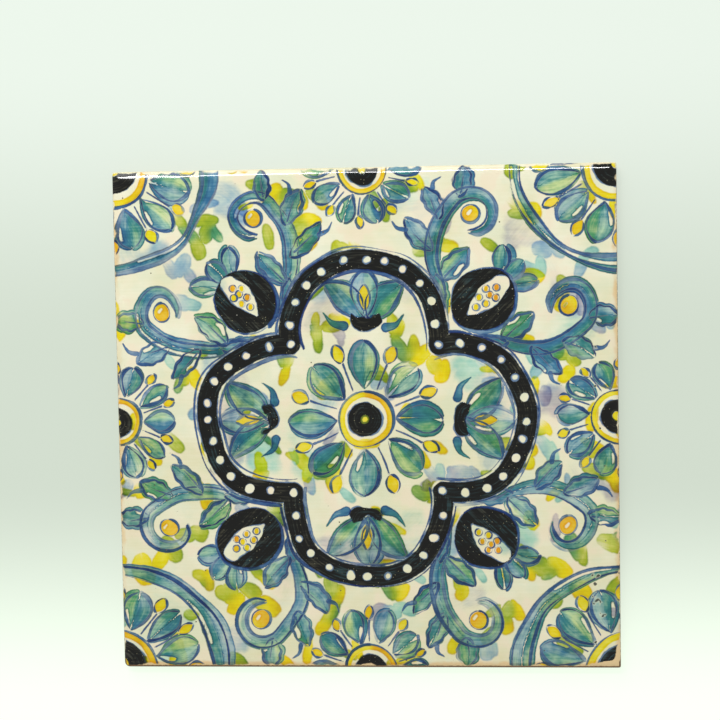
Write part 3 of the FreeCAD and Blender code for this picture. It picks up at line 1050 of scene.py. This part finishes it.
def coat_over(tree, hand, ground, name, pigments, manner, spared=None, bare=None):
    """Lays one transparent coat over what is there, and returns the new colour and the coat's cover.

    spared is where this coat is kept off other coats, and bare is the unpainted ground that shows
    where its brush has taken up the paint below it.
    """
    edge, tone, load, streaks = brush_mark(tree, name)
    ragged = 0.35 * manner.soft + 0.2
    start = -(manner.waver + ragged) / 2
    brushed = weighed(tree, [(edge, 1.0), (hand.waver, manner.waver), (hand.ragged, ragged)], start)
    limits = (brushed, -manner.soft, 0.4 * manner.soft, 1.0, 0.0)
    at_edge = add(tree, "ShaderNodeMapRange", limits, interpolation_type="SMOOTHSTEP")
    uneven = weighed(tree, [(load, 1.0), (hand.blot, 0.5), (streaks, 0.25)], -0.375)
    wet = add(tree, "ShaderNodeMapRange", (uneven, 0.0, manner.fade), interpolation_type="SMOOTHSTEP")
    cover = add(tree, "ShaderNodeMath", (at_edge, wet), operation="MULTIPLY")
    if spared is not None:
        room = weighed(tree, [(spared, -1.0)], 1.0)
        cover = add(tree, "ShaderNodeMath", (cover, room), operation="MULTIPLY")
    if bare is not None:
        taken_up = add(tree, "ShaderNodeMath", (cover, manner.lift), operation="MULTIPLY")
        ground = add(tree, "ShaderNodeMix", (taken_up, ground, bare), data_type="RGBA")

    limits = (brushed, -manner.rim, -0.2 * manner.rim)
    pooled = add(tree, "ShaderNodeMapRange", limits, interpolation_type="SMOOTHSTEP")
    middle = add(tree, "ShaderNodeMapRange", (brushed, -0.5, -4.5), interpolation_type="SMOOTHSTEP")
    terms = [(load, 0.8), (hand.blot, 0.9), (hand.streak, 0.4), (hand.curdle, 0.6)]
    terms += [(pooled, manner.pool), (streaks, manner.hairs), (middle, -manner.heart)]
    # Where the load is half and every noise at its mean, the density comes to the manner's depth.
    start = manner.depth - 1.35 - manner.pool / 3 - manner.hairs / 2 + manner.heart / 3
    density = weighed(tree, terms, start)
    terms = [(tone, 1.0), (hand.drift, manner.drift), (middle, 1.2 * manner.heart)]
    drifted = weighed(tree, terms, -manner.drift / 2)
    colour = blended(tree, drifted, density, pigments)
    laid = add(tree, "ShaderNodeMix", (cover, ground, colour), data_type="RGBA", blend_type="MULTIPLY")
    return laid, cover


def specks(tree, hand, scale, size, limit):
    """Small round spots, one at most to each cell of 1 / scale millimetres, and only in some cells."""
    cells = add(tree, "ShaderNodeTexVoronoi", {"Vector": hand.place, "Scale": scale, "Randomness": 1.0})
    chance = add(tree, "ShaderNodeSeparateXYZ", (cells.outputs["Color"],)).outputs["X"]
    common = weighed(tree, [(chance, 1.0), (hand.blot, 1.2)], -0.6)
    chosen = add(tree, "ShaderNodeMapRange", (common, limit, limit + 0.04))
    limits = (cells.outputs["Distance"], size * scale / 2, size * scale, 1.0, 0.0)
    round_spot = add(tree, "ShaderNodeMapRange", limits)
    return add(tree, "ShaderNodeMath", (chosen, round_spot), operation="MULTIPLY")


def black_over(tree, hand, ground, paint):
    """Manganese black, laid over a cobalt drawing that peeks out along its edge.

    Where the brush ran dry its hairs leave streaks of thin green and brown black, and the glaze
    boils through it in tiny pale specks.
    """
    edge, _, _, streaks = brush_mark(tree, "black")
    under = weighed(tree, [(edge, 1.0), (hand.waver, 2.6), (hand.ragged, 0.3)], -1.75)
    rim = add(tree, "ShaderNodeMapRange", (under, -0.25, 0.2, 0.9, 0.0), interpolation_type="SMOOTHSTEP")
    cobalt = opaque(linear("#4A76C0"))
    colour = add(tree, "ShaderNodeMix", (rim, ground, cobalt), data_type="RGBA", blend_type="MULTIPLY")
    brushed = weighed(tree, [(edge, 1.0), (hand.waver, 0.5), (hand.ragged, 0.4)], -0.45)
    cover = add(tree, "ShaderNodeMapRange", (brushed, -0.25, 0.15, 1.0, 0.0), interpolation_type="SMOOTHSTEP")
    dry = weighed(tree, [(streaks, 1.0), (hand.blot, 0.5), (hand.streak, 0.5)], -0.5)
    thin = add(tree, "ShaderNodeMapRange", (dry, 0.5, 0.85), interpolation_type="SMOOTHSTEP")
    cool = add(tree, "ShaderNodeMapRange", (hand.drift, 0.42, 0.58), interpolation_type="SMOOTHSTEP")
    shades = (cool, opaque(linear("#403F32")), opaque(linear("#2A4244")))
    thin_colour = add(tree, "ShaderNodeMix", shades, data_type="RGBA")
    black = add(tree, "ShaderNodeMix", (thin, opaque(paint.black), thin_colour), data_type="RGBA")
    # The specks are a fifth of a millimetre across, and up to a millimetre apart.
    boiled = specks(tree, hand, 0.9, 0.2, 0.64)
    black = add(tree, "ShaderNodeMix", (boiled, black, opaque(linear("#8F8B6C"))), data_type="RGBA")
    return add(tree, "ShaderNodeMix", (cover, colour, black), data_type="RGBA"), cover


def mottled_ground(tree, hand, paint):
    """Cream glaze, warmer where thin, with painted shade lower down and mint or peach in centimetre clouds.
    """
    height = add(tree, "ShaderNodeSeparateXYZ", (hand.place,)).outputs["Y"]
    # The height term is painted shade: the ground turns warmer and darker towards the bottom.
    terms = [(hand.drift, 1.5), (hand.streak, 0.5), (hand.blot, 0.7), (height, -0.0016)]
    warmth_and_painted_shade = weighed(tree, terms, -0.95)
    shades = (warmth_and_painted_shade, opaque(paint.ground), opaque(paint.ground_warm))
    colour = add(tree, "ShaderNodeMix", shades, data_type="RGBA")
    for limit, share, tint in ((0.65, 0.3, paint.ground_mint), (0.35, 0.55, paint.ground_peach)):
        limits = (hand.blot, 0.5, limit, 0.0, share)
        cloud = add(tree, "ShaderNodeMapRange", limits, interpolation_type="SMOOTHSTEP")
        colour = add(tree, "ShaderNodeMix", (cloud, colour, opaque(tint)), data_type="RGBA")
    return colour


def bare_rim(tree, hand, ground, paint, half):
    """The ground with its warm rim, the share of it that is left unpainted, and its dark rim line.

    The paint stops short of the rim, most of all along the top and in the lower right corner.
    There the glaze thins and the clay warms it, but hardly along the top, where it lies thick. A dark
    line runs round the rim, widest along the bottom and left out along the top: partly bare clay,
    burnt where the glaze drew back from the arris, and partly painted shade of the lower lip.
    """
    x, y, _ = add(tree, "ShaderNodeSeparateXYZ", (hand.place,)).outputs
    outwards = [add(tree, "ShaderNodeMath", (value,), operation="ABSOLUTE") for value in (x, y)]
    furthest = add(tree, "ShaderNodeMath", outwards, operation="MAXIMUM")
    from_rim = add(tree, "ShaderNodeMath", (half, furthest), operation="SUBTRACT")
    top = add(tree, "ShaderNodeMapRange", (y, half - 8, half - 2), interpolation_type="SMOOTHSTEP")
    bottom = add(tree, "ShaderNodeMapRange", (y, 4 - half, 2 - half), interpolation_type="SMOOTHSTEP")
    limits = (weighed(tree, [(y, -1.0)], x), 2 * half - 14, 2 * half)
    corner = add(tree, "ShaderNodeMapRange", limits, interpolation_type="SMOOTHSTEP")
    terms = [(from_rim, 1.0), (hand.waver, 4.0), (hand.ragged, 0.7)]
    terms += [(top, -0.5), (corner, -4.5), (bottom, -0.8)]
    strayed = weighed(tree, terms, -2.35)
    limits = (strayed, -0.2, 0.5, 1.0, 0.0)
    unpainted = add(tree, "ShaderNodeMapRange", limits, interpolation_type="SMOOTHSTEP")

    at_rim = add(tree, "ShaderNodeMapRange", (strayed, 0.5, 2.4, 1.0, 0.0), interpolation_type="SMOOTHSTEP")
    limits = (hand.drift, 0.4, 0.56, 0.25, 1.0)
    broken = add(tree, "ShaderNodeMapRange", limits, interpolation_type="SMOOTHSTEP")
    warmed = add(tree, "ShaderNodeMath", (broken, corner), operation="MAXIMUM")
    warmed = add(tree, "ShaderNodeMath", (warmed, bottom), operation="MAXIMUM")
    warmed = add(tree, "ShaderNodeMath", (warmed, weighed(tree, [(top, -0.8)], 1.0)), operation="MULTIPLY")
    warmed = add(tree, "ShaderNodeMath", (warmed, at_rim), operation="MULTIPLY")
    ground = add(tree, "ShaderNodeMix", (warmed, ground, opaque(paint.rim)), data_type="RGBA")

    # The dark rim line is partly burnt bare clay and partly painted shade of the lower lip, so it is widest
    # along the bottom and left out along the top.
    terms = [(from_rim, 1.0), (hand.ragged, 0.5), (bottom, -0.68), (top, 0.6)]
    drawn_back_and_shaded = weighed(tree, terms, -0.25)
    burnt_clay_and_painted_shade = add(tree, "ShaderNodeMapRange", (drawn_back_and_shaded, 0.0, 0.3, 1.0, 0.0), interpolation_type="SMOOTHSTEP")
    return ground, unpainted, burnt_clay_and_painted_shade


def glazed_earthenware(paint, half):
    """Tin-glazed earthenware, brushed with pigments and fired: a soft gloss with streaks and pinholes.

    The cream ground is never one flat tone, and the gloss is broken by the brush streaks and by
    pinholes where gas left the clay.
    """
    material, tree, shader = new_material("tin_glazed_painted_earthenware")
    hand = Hand(tree)
    ground = mottled_ground(tree, hand, paint)
    ground, unpainted, burnt_clay_and_painted_shade = bare_rim(tree, hand, ground, paint, half)

    pale = (AQUA, SKY_BLUE, LILAC)
    greens = (YELLOW, LIME, LEAF_GREEN)
    veil = Manner(soft=2.4, waver=2.4, pool=0.1, hairs=0.08, fade=0.6, depth=0.28)
    wash = Manner(soft=0.35, waver=0.9, rim=0.9, pool=0.5, heart=0.22, hairs=0.5, depth=0.47)
    bright = Manner(soft=0.35, fade=0.2, drift=0.5, lift=0.9)
    cool = Manner(soft=0.7, waver=1.4, pool=0.25, hairs=0.25, fade=0.5, depth=0.34)
    warm = Manner(soft=0.6, waver=1.2, hairs=0.25, fade=0.4, drift=0.5)
    line = Manner(soft=0.3, waver=0.45, rim=0.45, pool=0.4, hairs=0.4, fade=0.25, depth=0.5, lift=0.5)
    colour, _ = coat_over(tree, hand, ground, "veil", pale, veil)
    colour, washed = coat_over(tree, hand, colour, "wash", (COBALT, TEAL, LEAF_GREEN), wash)
    colour, brightened = coat_over(tree, hand, colour, "bright", (YELLOW, ORANGE), bright, bare=ground)
    washed = add(tree, "ShaderNodeMath", (washed, 0.65), operation="MULTIPLY")
    brightened = add(tree, "ShaderNodeMath", (brightened, 0.95), operation="MULTIPLY")
    spared = add(tree, "ShaderNodeMath", (washed, brightened), operation="MAXIMUM")
    colour, _ = coat_over(tree, hand, colour, "cool", pale, cool, spared)
    colour, _ = coat_over(tree, hand, colour, "warm", greens, warm, spared)
    colour, _ = coat_over(tree, hand, colour, "line", (LINE_COBALT, LINE_INK), line, bare=ground)
    colour, black = black_over(tree, hand, colour, paint)
    colour = add(tree, "ShaderNodeMix", (unpainted, colour, ground), data_type="RGBA")
    # Lays the dark rim line: burnt clay, and painted shade along the bottom.
    colour = add(tree, "ShaderNodeMix", (burnt_clay_and_painted_shade, colour, opaque(paint.biscuit_dark)), data_type="RGBA")

    # The lip's foot is burnt brown, where hardly any glaze is left on the clay.
    height = add(tree, "ShaderNodeSeparateXYZ", (hand.place,)).outputs["Z"]
    low = weighed(tree, [(height, 1.0), (hand.ragged, 0.5)], -0.25)
    foot = add(tree, "ShaderNodeMapRange", (low, 6.3, 6.9, 1.0, 0.0), interpolation_type="SMOOTHSTEP")
    colour = add(tree, "ShaderNodeMix", (foot, colour, opaque(paint.biscuit_dark)), data_type="RGBA")

    # Gas leaves pinholes under half a millimetre wide, dark in the ground and pale in the black.
    pinhole = specks(tree, hand, 0.2, 0.36, 0.7)
    shades = (black, opaque(linear("#6A604C")), opaque(linear("#A9A89C")))
    dust = add(tree, "ShaderNodeMix", shades, data_type="RGBA")
    colour = add(tree, "ShaderNodeMix", (pinhole, colour, dust), data_type="RGBA")

    # A crater is painted dark in its ragged middle, inside a lip of the plain ground colour.
    pit = add(tree, "ShaderNodeAttribute", attribute_name="pit").outputs["Fac"]
    depth = weighed(tree, [(pit, 1.0), (hand.ragged, 1.0)], -0.5)
    lip = add(tree, "ShaderNodeMapRange", (depth, 0.25, 0.45, 0.0, 0.4), interpolation_type="SMOOTHSTEP")
    colour = add(tree, "ShaderNodeMix", (lip, colour, ground), data_type="RGBA")
    dark = add(tree, "ShaderNodeMapRange", (depth, 0.5, 0.65, 0.0, 0.9), interpolation_type="SMOOTHSTEP")
    colour = add(tree, "ShaderNodeMix", (dark, colour, opaque(linear("#2E3230"))), data_type="RGBA")
    feed(tree, colour, shader.inputs["Base Color"])

    shader.inputs["IOR"].default_value = 1.5
    roughness = weighed(tree, [(hand.streak, 0.05), (hand.blot, 0.06), (foot, 0.4), (black, -0.02)], 0.05)
    feed(tree, roughness, shader.inputs["Roughness"])
    relief = weighed(tree, [(hand.streak, 0.004), (hand.blot, 0.05), (black, 0.04), (pinhole, -0.2)])
    bump = add(tree, "ShaderNodeBump", {"Height": relief, "Distance": MM, "Strength": 1.0})
    feed(tree, bump, shader.inputs["Normal"])
    return material


def bare_biscuit(paint):
    """Biscuit earthenware, pressed and fired without glaze: matt, grainy and scorched in places."""
    material, tree, shader = new_material("biscuit_earthenware")
    place = places_in_mm(tree)
    scorch = add(tree, "ShaderNodeTexNoise", {"Vector": place, "Scale": 0.05, "Detail": 5.0})
    grit = add(tree, "ShaderNodeTexNoise", {"Vector": place, "Scale": 2.2, "Detail": 4.0})
    share = weighed(tree, [(scorch, 1.5), (grit, 0.8)], -0.95)
    shades = (share, opaque(paint.biscuit), opaque(paint.biscuit_dark))
    feed(
        tree,
        add(tree, "ShaderNodeMix", shades, data_type="RGBA", clamp_factor=True),
        shader.inputs["Base Color"],
    )
    shader.inputs["Roughness"].default_value = 0.85
    bump = add(tree, "ShaderNodeBump", {"Height": grit, "Distance": 0.12 * MM, "Strength": 1.0})
    feed(tree, bump, shader.inputs["Normal"])
    return material


class TILE_OT_build(bpy.types.Operator):
    """Builds the painted tile in place of its plain solid"""

    bl_idname = "tile.build"
    bl_label = "Build Tile"

    def execute(self, context):
        form, paint = context.scene.tile_form, context.scene.tile_paint
        low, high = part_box(NODE)
        half = (high.x - low.x) / 2 / MM
        mesh = tile_mesh(form, low, high)
        face = Face(mesh, (high.z - form.rim_height) / MM)
        keep_coats(mesh, face, paint_face(face, paint, half))
        mesh.materials.append(glazed_earthenware(paint, half))
        mesh.materials.append(bare_biscuit(paint))
        piece = bpy.data.objects.new("painted_tile", mesh)
        context.scene.collection.objects.link(piece)
        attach(piece, "root")
        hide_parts(NODE)
        return {"FINISHED"}


# The stage

FLOOR_SIZE = 4.0
FLOOR_GAP = 0.1 * MM
FLOOR_FAR_Y, FLOOR_MIDDLE_Y = 148 * MM, 26 * MM
FLOOR_PALING_Y, FLOOR_NEAR_Y = -22 * MM, -122 * MM
KEY_PLACE, KEY_SIZE = Vector((-0.22, 0.60, 0.62)), (0.5, 0.4)
# The strip stands where the curve of the top edge mirrors it two millimetres inside the rim.
STRIP_PLACE, STRIP_SIZE = Vector((-0.09, 0.47, 1.02)), (0.5, 0.055)
CAMERA_PLACE = Vector((71.3, 77.7, 797.0)) * MM
CAMERA_TARGET = Vector((-1.9, 23.7, 6.8)) * MM
CAMERA_ROLL = math.radians(-1.03)
CAMERA_LENS = 100


def facing(place, target, roll=0.0):
    """The turn of a thing at place that faces target, with +Y upwards in its view."""
    ahead = (target - place).normalized()
    right = ahead.cross(Vector((0, 1, 0))).normalized()
    turn = Matrix((right, right.cross(ahead), -ahead)).transposed()
    return turn @ Matrix.Rotation(roll, 3, "Z")


def add_lamp(context, name, place, size, power):
    """A flat soft lamp that faces the tile."""
    data = bpy.data.lights.new(name, "AREA")
    data.shape = "RECTANGLE"
    data.size, data.size_y = size
    data.energy = power
    lamp = bpy.data.objects.new(name, data)
    lamp.matrix_world = Matrix.Translation(place) @ facing(place, Vector()).to_4x4()
    context.scene.collection.objects.link(lamp)


def sky(stage):
    """A white sky that is dimmer overhead than at its foot."""
    world = bpy.data.worlds.new("sky")
    world.use_nodes = True
    tree = world.node_tree
    background = next(node for node in tree.nodes if node.type == "BACKGROUND")
    background.inputs["Color"].default_value = (1, 1, 1, 1)
    way = add(tree, "ShaderNodeTexCoord").outputs["Object"]
    height = add(tree, "ShaderNodeSeparateXYZ", (way,)).outputs["Z"]
    strength = add(tree, "ShaderNodeMapRange", (height, 0.0, 1.0, stage.horizon, stage.zenith))
    feed(tree, strength, background.inputs["Strength"])
    return world


def floor_material(stage):
    """A matt pale floor with painted light: darker beside the tile, and glowing out to white towards the
    viewer.

    Most of what the camera sees of it is light of its own, so that shadows on it stay faint.
    """
    material, tree, shader = new_material("floor_with_painted_light")
    coordinates = add(tree, "ShaderNodeTexCoord")
    along = add(tree, "ShaderNodeSeparateXYZ", (coordinates.outputs["Object"],)).outputs["Y"]
    # Painted shade: the floor is darker beside the tile than beyond it.
    limits = (along, FLOOR_MIDDLE_Y, FLOOR_FAR_Y)
    far = add(tree, "ShaderNodeMapRange", limits, interpolation_type="SMOOTHSTEP")
    shades = (far, opaque(stage.floor_middle), opaque(stage.floor_far))
    colour = add(tree, "ShaderNodeMix", shades, data_type="RGBA")
    feed(tree, colour, shader.inputs["Base Color"])
    shader.inputs["Roughness"].default_value = 0.9
    shader.inputs["Specular IOR Level"].default_value = 0.0

    rays = add(tree, "ShaderNodeLightPath").outputs
    seen = add(tree, "ShaderNodeMath", (rays["Is Camera Ray"], rays["Is Glossy Ray"]), operation="ADD")
    seen = add(tree, "ShaderNodeMath", (seen, rays["Is Transmission Ray"]), operation="ADD", use_clamp=True)
    share = add(tree, "ShaderNodeMath", (seen, stage.floor_light), operation="MULTIPLY")
    # Painted light: the floor's glow brightens it towards the viewer.
    limits = (along, FLOOR_NEAR_Y, FLOOR_PALING_Y, 1.0 + stage.floor_paling, 1.0)
    strength = add(tree, "ShaderNodeMapRange", limits, interpolation_type="SMOOTHSTEP")
    glow = add(tree, "ShaderNodeEmission", {"Color": colour, "Strength": strength})
    mixed = add(tree, "ShaderNodeMixShader", (share, shader, glow))
    output = next(node for node in tree.nodes if node.type == "OUTPUT_MATERIAL")
    feed(tree, mixed, output.inputs["Surface"])
    return material


class TILE_OT_stage(bpy.types.Operator):
    """Lays the floor and sets the lamps, the sky and the camera"""

    bl_idname = "tile.stage"
    bl_label = "Build Stage"

    def execute(self, context):
        scene, stage = context.scene, context.scene.tile_stage
        bm = bmesh.new()
        bmesh.ops.create_grid(bm, x_segments=1, y_segments=1, size=FLOOR_SIZE / 2)
        bmesh.ops.translate(bm, verts=bm.verts, vec=(0, 0, -FLOOR_GAP))
        mesh = bpy.data.meshes.new("floor")
        bm.to_mesh(mesh)
        bm.free()
        mesh.materials.append(floor_material(stage))
        floor = bpy.data.objects.new("floor", mesh)
        scene.collection.objects.link(floor)

        add_lamp(context, "key", KEY_PLACE, KEY_SIZE, stage.key)
        add_lamp(context, "strip", STRIP_PLACE, STRIP_SIZE, stage.strip)
        scene.world = sky(stage)

        camera = bpy.data.objects.new("camera", bpy.data.cameras.new("camera"))
        camera.data.lens = CAMERA_LENS
        camera.data.sensor_width = 36
        turn = facing(CAMERA_PLACE, CAMERA_TARGET, CAMERA_ROLL)
        camera.matrix_world = Matrix.Translation(CAMERA_PLACE) @ turn.to_4x4()
        scene.collection.objects.link(camera)
        scene.camera = camera
        scene.view_settings.view_transform = "Standard"
        return {"FINISHED"}


class TILE_PT_panel(bpy.types.Panel):
    """The tile's settings and its two builders"""

    bl_idname = "TILE_PT_panel"
    bl_label = "Painted Tile"
    bl_space_type = "VIEW_3D"
    bl_region_type = "UI"
    bl_category = "Tile"

    def draw(self, context):
        for title, group in (("Form", "tile_form"), ("Paint", "tile_paint"), ("Stage", "tile_stage")):
            box = self.layout.box()
            box.label(text=title)
            settings = getattr(context.scene, group)
            for name in type(settings).__annotations__:
                box.prop(settings, name)
        for operator in (TILE_OT_build, TILE_OT_stage):
            self.layout.operator(operator.bl_idname)


CLASSES = (TileForm, TilePaint, TileStage, TILE_OT_build, TILE_OT_stage, TILE_PT_panel)


def register():
    for cls in CLASSES:
        bpy.utils.register_class(cls)
    bpy.types.Scene.tile_form = PointerProperty(type=TileForm)
    bpy.types.Scene.tile_paint = PointerProperty(type=TilePaint)
    bpy.types.Scene.tile_stage = PointerProperty(type=TileStage)


def unregister():
    del bpy.types.Scene.tile_stage
    del bpy.types.Scene.tile_paint
    del bpy.types.Scene.tile_form
    for cls in reversed(CLASSES):
        bpy.utils.unregister_class(cls)


def main():
    register()
    bpy.ops.tile.build()
    bpy.ops.tile.stage()


if __name__ == "__main__":
    main()
